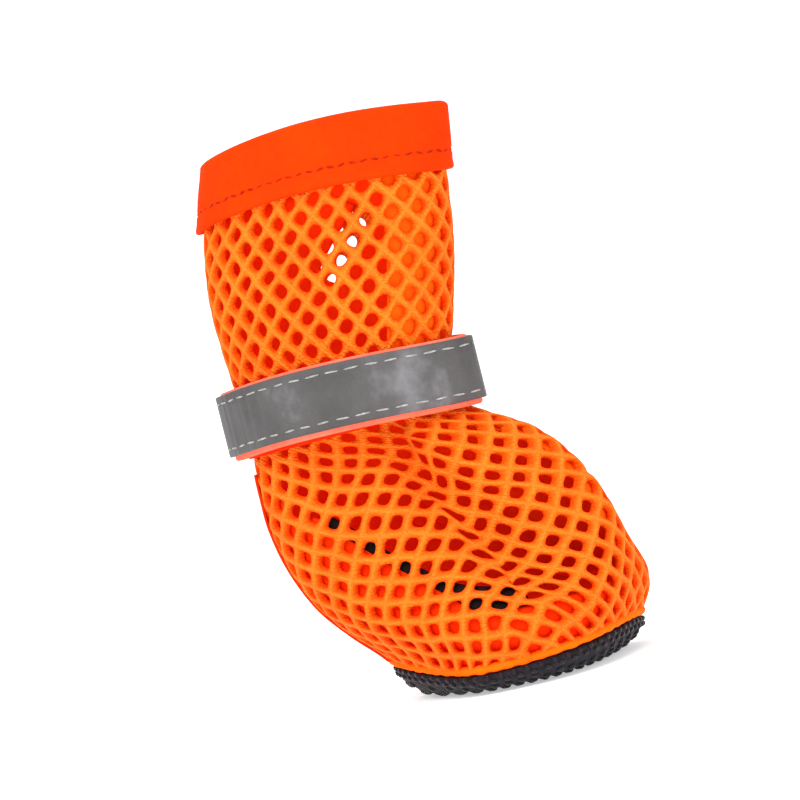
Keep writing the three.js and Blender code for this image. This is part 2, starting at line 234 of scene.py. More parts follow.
def strap_depth(degrees):
    """One layer of strap, and two where the free end lies on the fixed end."""
    doubled = 1 + smooth(degrees, 30.0, OVERLAP_START)
    return STRAP_THICKNESS * np.where(degrees < FREE_END, doubled, 1)


def strap_point(angle, rise, offset):
    """A point of the strap's loop, a superellipse pinched at its two ends."""
    angle, rise, offset = np.broadcast_arrays(angle, rise, offset)
    along, side = np.cos(angle), np.sin(angle)
    radius = (np.abs(along) ** STRAP_FOLD + np.abs(side) ** STRAP_FOLD) ** (-1 / STRAP_FOLD)
    x = STRAP_MIDDLE + (STRAP_HALF_LENGTH + offset) * along * radius
    y = (STRAP_HALF_BREADTH + offset) * side * radius
    return np.stack([x, y, ANKLE_HEIGHT + STRAP_ARCH * side**2 + rise], -1)


# Meshes
def grid_faces(rows, columns, ring_rows=False, ring_columns=False):
    """Quads between the points of a grid; a ring joins its last row or column to its first."""
    row = np.arange(rows if ring_rows else rows - 1)
    column = np.arange(columns if ring_columns else columns - 1)
    row, column = np.meshgrid(row, column, indexing="ij")
    next_row, next_column = (row + 1) % rows, (column + 1) % columns
    corners = [(row, column), (row, next_column), (next_row, next_column), (next_row, column)]
    return np.stack([r * columns + c for r, c in corners], -1).reshape(-1, 4)


def capped_rings(points):
    """Faces of a grid whose rows are rings, with the first and the last ring closed by quads across."""
    rows, columns = points.shape[:2]
    step = np.arange(columns // 2 - 1)
    cap = np.stack([step, step + 1, columns - 2 - step, columns - 1 - step], -1)
    sides = grid_faces(rows, columns, ring_columns=True)
    return np.vstack([sides, cap[:, ::-1], (rows - 1) * columns + cap])


def volume_of(points, faces):
    """The signed volume inside quads, which is over zero when they face outwards."""
    a, b, c, d = (points[faces[:, i]] for i in range(4))
    first = np.einsum("ij,ij->i", a, np.cross(b, c))
    return (first + np.einsum("ij,ij->i", a, np.cross(c, d))).sum() / 6


def place_piece(mesh, node, material):
    """Puts a mesh in the scene as a smooth piece that stands for a CAD node."""
    mesh.polygons.foreach_set("use_smooth", np.ones(len(mesh.polygons), bool))
    mesh.materials.append(material)
    piece = bpy.data.objects.new(mesh.name, mesh)
    bpy.context.scene.collection.objects.link(piece)
    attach(piece, "root")
    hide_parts(node)
    return piece


def add_piece(name, node, material, points, faces=None, uv=None, crest=None):
    """Makes one piece from points in millimetres and quads, turned to face outwards. Without quads
    the points are rings, capped at both ends. It may carry a cloth map, and a value for how near
    each point is to the yarn's crest."""
    if faces is None:
        faces = capped_rings(points)
    points = points.reshape(-1, 3)
    if volume_of(points, faces) < 0:
        faces = faces[:, ::-1]
    mesh = bpy.data.meshes.new(name)
    mesh.from_pydata((points * MM).tolist(), [], faces.tolist())
    if uv is not None:
        corners = np.empty(len(mesh.loops), np.int32)
        mesh.loops.foreach_get("vertex_index", corners)
        layer = mesh.uv_layers.new(name="cloth")
        layer.data.foreach_set("uv", uv.reshape(-1, 2)[corners].astype(np.float32).ravel())
    if crest is not None:
        mesh.attributes.new("crest", "FLOAT", "POINT").data.foreach_set(
            "value", crest.ravel().astype(np.float32))
    mesh.update()
    return place_piece(mesh, node, material)


def unit(vector):
    """Vectors of length one."""
    return vector / np.maximum(np.linalg.norm(vector, axis=-1, keepdims=True), 1e-9)


def beads(centres, along, out, sizes, around=8, rings=4):
    """Points and faces of closed ellipsoids, one at each centre, with their half sizes along, across
    and out. Each has quads round its middle and triangles at its two poles."""
    across = np.cross(out, along)
    polar = np.linspace(0, np.pi, rings + 1)[1:-1]
    turn = np.arange(around) * 2 * np.pi / around
    polar, turn = np.meshgrid(polar, turn, indexing="ij")
    shape = np.stack([np.sin(polar) * np.cos(turn), np.sin(polar) * np.sin(turn), np.cos(polar)], -1)
    shape = np.vstack([[0, 0, 1], shape.reshape(-1, 3), [0, 0, -1]]) * np.asarray(sizes)[..., None, :]
    shape = np.broadcast_to(shape, (len(centres),) + shape.shape[-2:])
    points = centres[:, None] + sum(
        shape[..., i, None] * axis[:, None] for i, axis in enumerate((along, across, out)))
    count = shape.shape[1]
    body = 1 + grid_faces(rings - 1, around, ring_columns=True)
    column = np.arange(around)
    following = (column + 1) % around
    last = count - 1 - around
    top = np.stack([1 + following, 1 + column, 0 * column], -1)
    bottom = np.stack([last + column, last + following, count - 1 + 0 * column], -1)
    starts = np.arange(len(centres))[:, None, None] * count
    quads = (starts + body).reshape(-1, 4).tolist()
    caps = (starts + np.vstack([top, bottom])).reshape(-1, 3).tolist()
    return points.reshape(-1, 3), quads + caps


def add_beads(name, node, slot, material, centres, along, out, sizes, around=8, rings=4):
    """Many small rounded solids in one mesh, such as stitches or the dots of a sole."""
    points, faces = beads(centres, along, out, sizes, around, rings)
    mesh = bpy.data.meshes.new(name)
    mesh.from_pydata((points * MM).tolist(), [], faces)
    corner = points[np.array(faces[0])]
    outwards = np.dot(np.cross(corner[1] - corner[0], corner[2] - corner[0]), corner[0] - centres[0])
    if outwards < 0:
        mesh.flip_normals()
    return place_piece(mesh, node, material)


def even_steps(curve, start, stop, pitch, closed=False):
    """Parameters along a curve, at equal distances near the pitch."""
    dense = np.linspace(start, stop, 1500)
    points = curve(dense)
    length = np.concatenate([[0], np.cumsum(np.linalg.norm(np.diff(points, axis=0), axis=1))])
    count = max(int(round(length[-1] / pitch)), 1)
    wanted = np.arange(count if closed else count + 1) * length[-1] / count
    return np.interp(wanted, length, dense)


def frames_on(surface, first, second, step=0.004):
    """Points of a surface of two parameters, with the unit vectors along the first and outwards."""
    point = surface(first, second)
    along = unit(surface(first + step, second) - surface(first - step, second))
    up = surface(first, second + 0.05) - surface(first, second - 0.05)
    out = unit(np.cross(along, up))
    return point, along, out


def stitches_on(surface, first, second, length, width, height, lean=0.0):
    """Centres, directions and half sizes of stitches lying on a surface."""
    point, along, out = frames_on(surface, first, second)
    if lean:
        across = np.cross(out, along)
        signs = np.where(np.arange(len(first)) % 2, 1, -1)[:, None]
        along = unit(along + np.tan(lean) * signs * across)
    sizes = np.tile([length / 2, width / 2, height], (len(first), 1))
    sizes[:, 0] *= RANDOM.uniform(0.88, 1.08, len(first))
    return point, along, out, sizes


# The net: a flat lattice of holes laid on the last
def lookup(table, row, column):
    """The value of a table between its rows and columns, by straight lines."""
    row = np.clip(row, 0, table.shape[0] - 1.001)
    column = np.clip(column, 0, table.shape[1] - 1.001)
    r, c = row.astype(int), column.astype(int)
    fr, fc = row - r, column - c
    low = table[r, c] * (1 - fc) + table[r, c + 1] * fc
    high = table[r + 1, c] * (1 - fc) + table[r + 1, c + 1] * fc
    return low * (1 - fr) + high * fr


TABLE_ROWS = 70
TABLE_COLUMNS = 241


def angle_table(height_of, count=TABLE_ROWS):
    """Angles at even shares of the way round, for rows of a tube whose heights are a function of
    the angle and of the row's share. Share 0 and 1 are the centre back, a half is the front."""
    angles = np.linspace(-np.pi, np.pi, 721)
    shares = np.linspace(0, 1, TABLE_COLUMNS)
    row = np.linspace(0, 1, count)[:, None]
    points = net_point(angles[None, :], height_of(angles[None, :], row))
    steps = np.linalg.norm(np.diff(points, axis=1), axis=-1)
    length = np.concatenate([np.zeros((count, 1)), np.cumsum(steps, axis=1)], axis=1)
    table = np.array([np.interp(shares, line / line[-1], angles) for line in length])
    return table, length[:, -1]


def shaft_height(angle, share):
    """Height a share of the way up the shaft's net."""
    return blend_of(NET_JOIN, RIM_HEIGHT + RIM_ARCH, share) + 0 * angle


def foot_height(angle, share):
    """Height a share of the way down the foot's net."""
    return blend_of(NET_JOIN, net_foot(angle), share)


SHAFT_COLUMNS = 24
SHAFT_PITCH = 4.0
SHAFT_ROW = 5.1
SHAFT_TABLE, _ = angle_table(shaft_height)
FOOT_TABLE, FOOT_ROUND = angle_table(foot_height)
FOOT_PITCH = 3.3
FOOT_GRAIN = 43.0            # degrees the rows are turned from the front centre line's square
COS_GRAIN, SIN_GRAIN = math.cos(math.radians(FOOT_GRAIN)), math.sin(math.radians(FOOT_GRAIN))
YARN_FLATNESS = 0.68        # 1 is a round yarn, less is flatter
LONGEST_WALL = 70            # millimetres, over the longest way down the foot's net


def foot_lengths():
    """Wall lengths from the top of the foot down even shares of the way round, turned round into the
    share of the wall at even lengths."""
    row = np.linspace(0, 1, TABLE_ROWS)[:, None]
    points = net_point(FOOT_TABLE, foot_height(FOOT_TABLE, row))
    steps = np.linalg.norm(np.diff(points, axis=0), axis=-1)
    length = np.concatenate([np.zeros((1, TABLE_COLUMNS)), np.cumsum(steps, axis=0)])
    even = np.linspace(0, LONGEST_WALL, TABLE_ROWS)
    over = 1 + (even[:, None] - length[-1]) / length[-1]
    inside = np.array([np.interp(even, length[:, k], row[:, 0]) for k in range(TABLE_COLUMNS)]).T
    return np.where(even[:, None] > length[-1], over, inside), length[-1]


FOOT_WALL, FOOT_LENGTH = foot_lengths()
FOOT_TURN = (FOOT_ROUND[-1] - FOOT_ROUND[0]) / 2 / FOOT_LENGTH.mean()
FOOT_APEX = FOOT_ROUND[0] / 2 / FOOT_TURN


def shaft_place(flat):
    """Angle and height of a point of the shaft's flat net: across is the share of the way round,
    from the front, and up is the height."""
    half = SHAFT_COLUMNS * SHAFT_PITCH / 2
    share = ((flat[..., 0] / half + 1) / 2) % 1.0
    height = np.clip(flat[..., 1], NET_JOIN, RIM_HEIGHT + RIM_ARCH)
    row = (height - NET_JOIN) / (RIM_HEIGHT + RIM_ARCH - NET_JOIN)
    angle = lookup(SHAFT_TABLE, row * (TABLE_ROWS - 1), share * (TABLE_COLUMNS - 1))
    inside = (flat[..., 1] >= NET_JOIN - 0.01) & (flat[..., 1] <= rim_height(angle) + 0.01)
    return angle, np.minimum(height, rim_height(angle)), inside


def gather_line():
    """Way round and wall length along the middle of the gathered band on the boot's right side, which
    runs down the wall towards the toe."""
    along = np.linspace(0, 1, 12)
    x, z = blend_of(GATHER_FROM, GATHER_TO, along[:, None]).T
    row = np.linspace(0, 1, TABLE_ROWS)[:, None]
    points = net_point(FOOT_TABLE, foot_height(FOOT_TABLE, row))
    half = TABLE_COLUMNS // 2
    right = points[None, :, :half]
    away = np.hypot(right[..., 0] - x[:, None, None], right[..., 2] - z[:, None, None])
    nearest = away.reshape(len(x), -1).argmin(1)
    r, c = nearest // half, nearest % half
    steps = np.linalg.norm(np.diff(points, axis=0), axis=-1)
    length = np.concatenate([np.zeros((1, TABLE_COLUMNS)), np.cumsum(steps, axis=0)])
    return c / (TABLE_COLUMNS - 1) * 2 - 1, length[r, c]


GATHER_FROM, GATHER_TO = np.array([-8.0, 37.0]), np.array([10.0, 15.0])
GATHER_TURN, GATHER_WALL = gather_line()
GATHER_ORDER = np.argsort(GATHER_TURN)
GATHER_DEPTH, GATHER_BREADTH = 2.6, 12.0
GATHER_FADE = (-0.22, 0.02)  # shares of the way round before each end, over which the band fades in


def gathered(turn, wall):
    """Wall length after the cloth is gathered: less cloth length is left below the band, and the
    change runs smoothly over the band's breadth."""
    middle = np.interp(turn, GATHER_TURN[GATHER_ORDER], GATHER_WALL[GATHER_ORDER])
    low, high = GATHER_TURN.min(), GATHER_TURN.max()
    outer, inner = GATHER_FADE
    faded = smooth(turn, low + outer, low + inner) * (1 - smooth(turn, high - inner, high - outer))
    taken = GATHER_DEPTH * faded
    return wall - taken * smooth(wall, middle - GATHER_BREADTH / 2, middle + GATHER_BREADTH / 2 + taken)


def foot_place(flat):
    """Angle and height of a point of the foot's flat net, which is cut as part of a ring: the way
    round is the ring's angle, and the way down the wall is the distance from its middle."""
    distance = np.hypot(flat[..., 0], flat[..., 1])
    turn = np.arctan2(flat[..., 0], -flat[..., 1]) / FOOT_TURN
    share = (np.clip(turn, -1, 1) + 1) / 2
    column = share * (TABLE_COLUMNS - 1)
    down = gathered(turn, np.maximum(distance - FOOT_APEX, 0))
    wall = lookup(FOOT_WALL, down / LONGEST_WALL * (TABLE_ROWS - 1), column)
    row = np.clip(wall, 0, 1)
    angle = lookup(FOOT_TABLE, row * (TABLE_ROWS - 1), column)
    inside = (wall <= 1.0) & (distance >= FOOT_APEX) & (np.abs(turn) <= 1.015)
    return angle, foot_height(angle, row), inside


def wander(flat, amount):
    """Slow uneven drift of the yarns: a few crossed sine waves."""
    x, y = flat[..., 0], flat[..., 1]
    shift_x = np.sin(0.53 * x + 0.31 * y) + np.sin(0.17 * x - 0.71 * y + 1.3) + np.sin(1.9 * y + 0.4 * x)
    shift_y = np.sin(0.47 * y - 0.39 * x + 2.1) + np.sin(0.83 * x + 0.13 * y + 0.6) + np.sin(1.7 * x)
    return flat + amount * np.stack([shift_x, shift_y], -1) / 3


SIDE_STEPS = 4                                   # points along each side of a cell
YARN_TURNS = (90, 62, 38, 14, -14, -45, -90)     # degrees round the yarn, from its crest to its back
HOLE_SPREAD = (0.93, 1.05)
YARN_DRIFT = 0.22


def add_net(name, material, centres, basis, place, hole, form, thickness, wrap=0.0):
    """A net as one mesh. Each cell is a lattice square round a superellipse hole; a section from the
    cell's border to the hole is half a superellipse, so each bar between two holes is a rounded yarn.
    Cells share the points of their borders, and wrap joins the two sides of a tube."""
    side = np.linspace(-0.5, 0.5, SIDE_STEPS + 1)[:-1]
    flat_side = np.full(SIDE_STEPS, 0.5)
    border = np.concatenate([
        np.stack([side, -flat_side], -1), np.stack([flat_side, side], -1),
        np.stack([-side, flat_side], -1), np.stack([-flat_side, -side], -1)]) @ basis
    direction = np.arctan2(border[:, 1], border[:, 0])
    grain = np.arctan2(basis[0, 1], basis[0, 0])
    around = direction - grain
    reach = (np.abs(np.cos(around)) ** form + np.abs(np.sin(around)) ** form) ** (-1 / form)
    ring = reach[:, None] * np.stack([np.cos(direction), np.sin(direction)], -1)
    sizes = np.asarray(hole) * RANDOM.uniform(*HOLE_SPREAD, (len(centres), 1, 2))
    holes = ring[None] * sizes
    tilt = np.radians(np.array(YARN_TURNS))
    rise = np.sign(np.sin(tilt)) * np.abs(np.sin(tilt)) ** YARN_FLATNESS
    out_share = (1 - np.abs(np.cos(tilt)) ** YARN_FLATNESS)[None, :, None, None]
    flat = centres[:, None, None] + blend_of(holes[:, None], border[None, None], out_share)
    depth = np.broadcast_to((rise - 1)[None, :, None] * thickness / 2, flat.shape[:-1])
    loops, count = len(tilt), len(border)
    key = flat.copy()
    if wrap:
        key[..., 0] = np.round(np.mod(key[..., 0] + 0.001, wrap), 2)
        key[..., 0] = np.where(key[..., 0] >= wrap, 0, key[..., 0])
    keys = np.round(np.concatenate([key, depth[..., None]], -1).reshape(-1, 3) * 50).astype(np.int64)
    _, first, index = np.unique(keys, axis=0, return_index=True, return_inverse=True)
    index = index.reshape(-1)
    drifted = wander(flat, YARN_DRIFT).reshape(-1, 2)[first]
    angle, height, _ = place(drifted)
    points = net_point(angle, height, depth.reshape(-1)[first])
    crest = np.broadcast_to(out_share[..., 0], depth.shape).reshape(-1)[first]
    cell = grid_faces(loops, count, ring_columns=True)
    faces = (np.arange(len(centres))[:, None, None] * loops * count + cell).reshape(-1, 4)
    faces = index[faces]
    a, b, c, d = (points[faces[:, i]] for i in range(4))
    area = np.linalg.norm(np.cross(c - a, d - b), axis=1)
    faces = faces[area > 1e-4]
    pitch = np.linalg.norm(basis[0])
    return add_piece(name, "upper", material, points, faces, uv=drifted / pitch, crest=crest)


def lattice(basis, low, high, origin):
    """Lattice points of a basis inside a rectangle."""
    longest = max(high[0] - low[0], high[1] - low[1])
    reach = int(np.ceil(longest / np.linalg.norm(basis, axis=1).min())) + 2
    i, j = np.meshgrid(np.arange(-reach, reach + 1), np.arange(-reach, reach + 1), indexing="ij")
    points = np.stack([i.ravel(), j.ravel()], -1) @ basis + origin
    kept = np.all((points >= low) & (points < high), axis=1)
    return points[kept]


# Materials
def new_material(name, roughness, specular):
    """A principled material, with its node tree and its shader."""
    material = bpy.data.materials.new(name)
    material.use_nodes = True
    tree = material.node_tree
    shader = tree.nodes["Principled BSDF"]
    shader.inputs["Roughness"].default_value = roughness
    shader.inputs["Specular IOR Level"].default_value = specular
    return material, tree, shader


def add_node(tree, kind, links=None, **values):
    """A node with its settings, and its inputs linked or set."""
    node = tree.nodes.new(kind)
    for name, value in values.items():
        setattr(node, name, value)
    for name, value in (links or {}).items():
        if isinstance(value, bpy.types.NodeSocket):
            tree.links.new(value, node.inputs[name])
        else:
            node.inputs[name].default_value = value
    return node


def noise(tree, vector, scale, detail=3.0, roughness=0.5):
    """The value of a noise pattern."""
    links = {"Vector": vector, "Scale": scale, "Detail": detail, "Roughness": roughness}
    return add_node(tree, "ShaderNodeTexNoise", links).outputs["Fac"]


def ramp(tree, value, stops):
    """A colour ramp over a value; stops are (place, colour)."""
    node = add_node(tree, "ShaderNodeValToRGB", {"Fac": value})
    elements = node.color_ramp.elements
    while len(elements) < len(stops):
        elements.new(0.5)
    for element, (place, colour) in zip(elements, stops):
        element.position = place
        element.color = (*colour, 1)
    return node.outputs["Color"]


def mix(tree, share, a, b, blend="MIX"):
    """Two colours mixed by a share."""
    node = tree.nodes.new("ShaderNodeMix")
    node.data_type = "RGBA"
    node.blend_type = blend
    for index, value in ((0, share), (6, a), (7, b)):
        if isinstance(value, bpy.types.NodeSocket):
            tree.links.new(value, node.inputs[index])
        elif isinstance(value, tuple):
            node.inputs[index].default_value = (*value, 1)
        else:
            node.inputs[index].default_value = value
    return node.outputs[2]


def maths(tree, operation, a, b=0.0):
    """A sum, product or other operation on two values."""
    node = tree.nodes.new("ShaderNodeMath")
    node.operation = operation
    for index, value in ((0, a), (1, b)):
        if isinstance(value, bpy.types.NodeSocket):
            tree.links.new(value, node.inputs[index])
        else:
            node.inputs[index].default_value = value
    return node.outputs[0]


def bump(tree, shader, height, strength, distance):
    """Roughens a shader's normal by a height."""
    links = {"Height": height, "Strength": strength, "Distance": distance}
    node = add_node(tree, "ShaderNodeBump", links)
    tree.links.new(node.outputs["Normal"], shader.inputs["Normal"])


def place_of(tree):
    """The place on the boot, in metres."""
    return tree.nodes.new("ShaderNodeTexCoord").outputs["Object"]


def cloth_of(tree):
    """The place on the flat cloth."""
    node = tree.nodes.new("ShaderNodeUVMap")
    node.uv_map = "cloth"
    return node.outputs["UV"]


# The net yarn in painted shade, half shade and light, set by how near a point is to the yarn's crest
YARN_PAINTED_LIT = (1.0, 0.255, 0.024)
YARN_PAINTED_HALF_SHADE = (1.0, 0.186, 0.010)
YARN_PAINTED_SHADE = (0.96, 0.085, 0.001)
TAPE_ORANGE = (1.0, 0.043, 0.0005)
# The orange tape's colour in painted shade
TAPE_SHADE_RED = (0.90, 0.026, 0.001)
STRAP_SALMON = (1.0, 0.215, 0.135)


def add_painted_glow(shader, colour, strength):
    """Painted light: a faint glow in the cloth's own colour that lifts its shade, for the daylight that
    thin cloth lets through.
    """
    shader.inputs["Emission Color"].default_value = (*colour, 1)
    shader.inputs["Emission Strength"].default_value = strength


def net_material():
    """Bright knitted yarn with fine loops across it, painted lighter along its crest and in shade towards
    the holes.
    """
    material, tree, shader = new_material("net_yarn", roughness=0.75, specular=0.05)
    crest = tree.nodes.new("ShaderNodeAttribute")
    crest.attribute_name = "crest"
    patchy = noise(tree, place_of(tree), 160.0, 2.0)
    grain = noise(tree, place_of(tree), 2600.0, 2.0)
    speckle = maths(tree, "MULTIPLY", maths(tree, "SUBTRACT", grain, 0.5), 0.8)
    level = maths(tree, "ADD", crest.outputs["Fac"], speckle)
    # Painted light and shade: painted shade at the holes' edges and painted light along the crest, with a
    # random speckle
    colour = ramp(tree, level, [(0.0, YARN_PAINTED_SHADE), (0.55, YARN_PAINTED_HALF_SHADE), (1.05, YARN_PAINTED_LIT)])
    worn = ramp(tree, patchy, [(0.35, (1.0, 0.84, 0.8)), (0.65, (1.0, 1.0, 1.0))])
    tree.links.new(mix(tree, 1.0, colour, worn, "MULTIPLY"), shader.inputs["Base Color"])
    # Painted light: a faint red glow that brightens the yarn in shade
    add_painted_glow(shader, (1.0, 0.045, 0.001), 0.075)
    loops = {"Vector": cloth_of(tree), "Scale": 2.4, "Distortion": 5.0, "Detail": 3.0,
             "Detail Scale": 2.5}
    knit = add_node(tree, "ShaderNodeTexWave", loops, bands_direction="DIAGONAL").outputs["Fac"]
    rough = maths(tree, "ADD", knit, maths(tree, "MULTIPLY", grain, 2.2))
    bump(tree, shader, rough, 0.85, 0.0003)
    return material


def tape_material(name, colour, deep, scale=1.0, glow=0.0):
    """Tightly woven tape: fine crossed threads and a soft uneven colour."""
    material, tree, shader = new_material(name, roughness=0.8, specular=0.03)
    add_painted_glow(shader, (1.0, 0.2 * colour[1], 0.0), glow)
    place = place_of(tree)
    uneven = noise(tree, place, 90.0, 3.0)
    fine = noise(tree, place, 900.0, 2.0)
    broad, narrow = maths(tree, "MULTIPLY", uneven, 0.75), maths(tree, "MULTIPLY", fine, 0.25)
    shade = ramp(tree, maths(tree, "ADD", broad, narrow), [(0.36, deep), (0.6, colour)])
    tree.links.new(shade, shader.inputs["Base Color"])
    threads = {"Vector": cloth_of(tree), "Scale": 0.9 * scale, "Distortion": 0.5}
    weft, warp = (add_node(tree, "ShaderNodeTexWave", threads, bands_direction=way).outputs["Fac"]
                  for way in "XY")
    weave = maths(tree, "MULTIPLY", weft, warp)
    bump(tree, shader, maths(tree, "ADD", weave, maths(tree, "MULTIPLY", uneven, 2.5)), 0.35, 0.00016)
    return material


def thread_material(name, colour):
    """Sewing thread: a twisted yarn with a little shine."""
    material, tree, shader = new_material(name, roughness=0.65, specular=0.08)
    shade = noise(tree, place_of(tree), 1500.0, 2.0)
    dark = tuple(0.6 * c for c in colour)
    tree.links.new(ramp(tree, shade, [(0.35, dark), (0.65, colour)]), shader.inputs["Base Color"])
    bump(tree, shader, shade, 0.4, 0.0001)
    return material


# A painted highlight on the film: lightest at this x, fading to nothing half a width away
SHINE_AT, SHINE_HALF = -0.0015, 0.0085     # metres: where the film's turn to the toe catches light


def reflective_material():
    """Grey beaded film: a fine grain, soft cloudy patches of painted reflection, a painted highlight
    where it turns to the toe, slight crinkles.
    """
    material, tree, shader = new_material("beaded_film", roughness=0.5, specular=0.2)
    place = place_of(tree)
    cloud = noise(tree, place, 75.0, 4.0, 0.6)
    fine = noise(tree, place, 3200.0, 2.0)
    crinkle = noise(tree, place, 210.0, 3.0, 0.55)
    split = add_node(tree, "ShaderNodeSeparateXYZ", {"Vector": place})
    # Painted highlight: the film's colour is lightened near SHINE_AT
    away = maths(tree, "ABSOLUTE", maths(tree, "ADD", split.outputs["X"], -SHINE_AT))
    near = maths(tree, "SUBTRACT", 1.0, maths(tree, "DIVIDE", away, SHINE_HALF))
    lift = maths(tree, "MULTIPLY", maths(tree, "MAXIMUM", near, 0.0), 0.20)
    cloud = maths(tree, "ADD", maths(tree, "MULTIPLY", cloud, 0.85), lift)
    body = ramp(tree, cloud, [(0.38, (0.078, 0.074, 0.074)), (0.54, (0.104, 0.099, 0.100)),
                              (0.70, (0.24, 0.24, 0.25))])
    grain = ramp(tree, fine, [(0.3, (0.88, 0.88, 0.88)), (0.7, (1.0, 1.0, 1.0))])
    tree.links.new(mix(tree, 1.0, body, grain, "MULTIPLY"), shader.inputs["Base Color"])
    height = maths(tree, "ADD", crinkle, maths(tree, "MULTIPLY", fine, 0.12))
    bump(tree, shader, height, 0.45, 0.0005)
    return material


def sole_material():
    """Coated black cloth between the dots."""
    material, tree, shader = new_material("sole_cloth", roughness=0.65, specular=0.15)
    place = place_of(tree)
    fine = noise(tree, place, 700.0, 3.0)
    tree.links.new(ramp(tree, fine, [(0.3, (0.006, 0.005, 0.008)), (0.7, (0.020, 0.017, 0.024))]),
                   shader.inputs["Base Color"])
    cells = add_node(tree, "ShaderNodeTexVoronoi", {"Vector": place, "Scale": 900.0}).outputs["Distance"]
    bump(tree, shader, maths(tree, "ADD", cells, fine), 0.6, 0.0003)
    return material


def dot_material():
    """The grip dots: smoother and shinier than the cloth."""
    material, tree, shader = new_material("grip_dots", roughness=0.3, specular=0.2)
    fine = noise(tree, place_of(tree), 900.0, 2.0)
    tree.links.new(ramp(tree, fine, [(0.3, (0.006, 0.005, 0.007)), (0.7, (0.014, 0.012, 0.016))]),
                   shader.inputs["Base Color"])
    bump(tree, shader, fine, 0.25, 0.0001)
    return material


NET = net_material()
BINDING = tape_material("collar_tape", TAPE_ORANGE, (0.93, 0.033, 0.001))
# The ankle tape is the orange tape, painted in its shaded red and a darker red for the shade under the
# strap
ANKLE_TAPE = tape_material("ankle_tape", TAPE_SHADE_RED, (0.72, 0.020, 0.002))
# The heel cloth's random patches run from the orange down to the painted shade red
HEEL_CLOTH = tape_material("heel_cloth", TAPE_ORANGE, TAPE_SHADE_RED, 0.7)
SEAM_TAPE = tape_material("seam_tape", (0.98, 0.050, 0.001), (0.90, 0.028, 0.001), glow=0.11)
# Two copies of one lining cloth: orange as painted light near the open front, red as painted shade deeper
# inside
LINING_PAINTED_LIT = tape_material("lining_turn", (1.0, 0.17, 0.004), (0.98, 0.12, 0.002), 1.5, glow=0.12)
LINING = tape_material("lining_cloth", (1.0, 0.055, 0.0005), (0.97, 0.040, 0.0005), 1.5, glow=0.10)
# Near-black cloth for a strip of painted shadow inside the foot
PAINTED_SHADOW_TAPE = tape_material("dark_tape", (0.012, 0.009, 0.008), (0.005, 0.004, 0.004))
WEBBING = tape_material("strap_webbing", STRAP_SALMON, (0.95, 0.15, 0.08), 1.3)
RED_THREAD = thread_material("red_thread", (0.42, 0.018, 0.001))
GREY_THREAD = thread_material("grey_thread", (0.46, 0.45, 0.43))
FILM = reflective_material()
SOLE_CLOTH = sole_material()
GRIP = dot_material()


SHAFT_HOLE, SHAFT_FORM = (1.0, 1.06), 2.05     # half sizes, and a form near 2 for round holes
FOOT_HOLE, FOOT_FORM = (0.99, 0.99), 2.6       # a higher form for squarer holes


def add_shaft_net():
    """Net of the shaft: diamonds, the same number of columns all the way up."""
    basis = np.array([[SHAFT_PITCH / 2, SHAFT_ROW / 2], [-SHAFT_PITCH / 2, SHAFT_ROW / 2]])
    way_round = SHAFT_COLUMNS * SHAFT_PITCH
    low, high = (-way_round / 2, NET_JOIN - 0.5), (way_round / 2, RIM_HEIGHT + 1)
    cells = lattice(basis, low, high, np.array([0.0, NET_JOIN]))
    add_net("shaft_net", NET, cells, basis, shaft_place, SHAFT_HOLE, SHAFT_FORM, NET_THICKNESS, way_round)


def add_foot_net():
    """Net of the foot: squares, in one cut from the toe round both sides to the centre back."""
    basis = FOOT_PITCH * np.array([[COS_GRAIN, SIN_GRAIN], [-SIN_GRAIN, COS_GRAIN]])
    reach = FOOT_APEX + FOOT_LENGTH.max() + FOOT_PITCH + GATHER_DEPTH
    cells = lattice(basis, (-reach, -reach), (reach, 0), np.array([0.0, -FOOT_APEX - 1.0]))
    cells = cells[foot_place(cells * 0.995)[2] | foot_place(cells)[2]]
    add_net("foot_net", NET, cells, basis, foot_place, FOOT_HOLE, FOOT_FORM, NET_THICKNESS)


add_shaft_net()
add_foot_net()


def ring_piece(name, node, material, profile, steps=240):
    """A closed section carried round the boot. Each corner of the section is a function that gives a
    point for each angle; the ways round and along the section are the cloth's coordinates."""
    angle = np.arange(steps) * 2 * np.pi / steps
    points = np.stack([corner(angle) for corner in profile], axis=1)
    around = np.linalg.norm(np.roll(points[:, 0], -1, axis=0) - points[:, 0], axis=-1)
    along = np.concatenate([[0], np.cumsum(around)[:-1]])
    down = np.linalg.norm(np.diff(points, axis=1), axis=-1).mean(0)
    section = np.concatenate([[0], np.cumsum(down)])
    uv = np.stack(np.broadcast_arrays(along[:, None], section[None, :]), -1)
    faces = grid_faces(steps, len(profile), ring_rows=True, ring_columns=True)
    return add_piece(name, node, material, points, faces, uv=uv)


# Collar: tape folded over the net's top edge
BAND_OUTSIDE = 9.6
BAND_INSIDE = 8.4
BAND_THICKNESS = 0.8
STITCH_RISE = -6.7        # the row of stitches below the net's top edge
LAP_DEPTH, LAP_BREADTH = 0.55, 0.16     # where the tape's two ends lap at the centre back


def rim_corner(offset, rise, ripple=0.0):
    """A corner of the collar's section, a rise above the net's top edge."""
    def corner(angle):
        """The point at an angle, pushed out by two sine ripples and by the bell curve of the lap."""
        waved = ripple * np.sin(7 * angle + 0.7) + 0.6 * ripple * np.sin(17 * angle + 2.0)
        from_back = np.pi - np.abs((angle + np.pi) % (2 * np.pi) - np.pi)
        lap = LAP_DEPTH * np.exp(-((from_back / LAP_BREADTH) ** 2))
        waved = waved + lap * smooth(-rise, 5.5, 9.0) * (offset > 0)
        point = net_point(angle, rim_height(angle) + min(rise, 0), offset + waved)
        point[..., 2] = rim_height(angle) + rise
        return point
    return corner


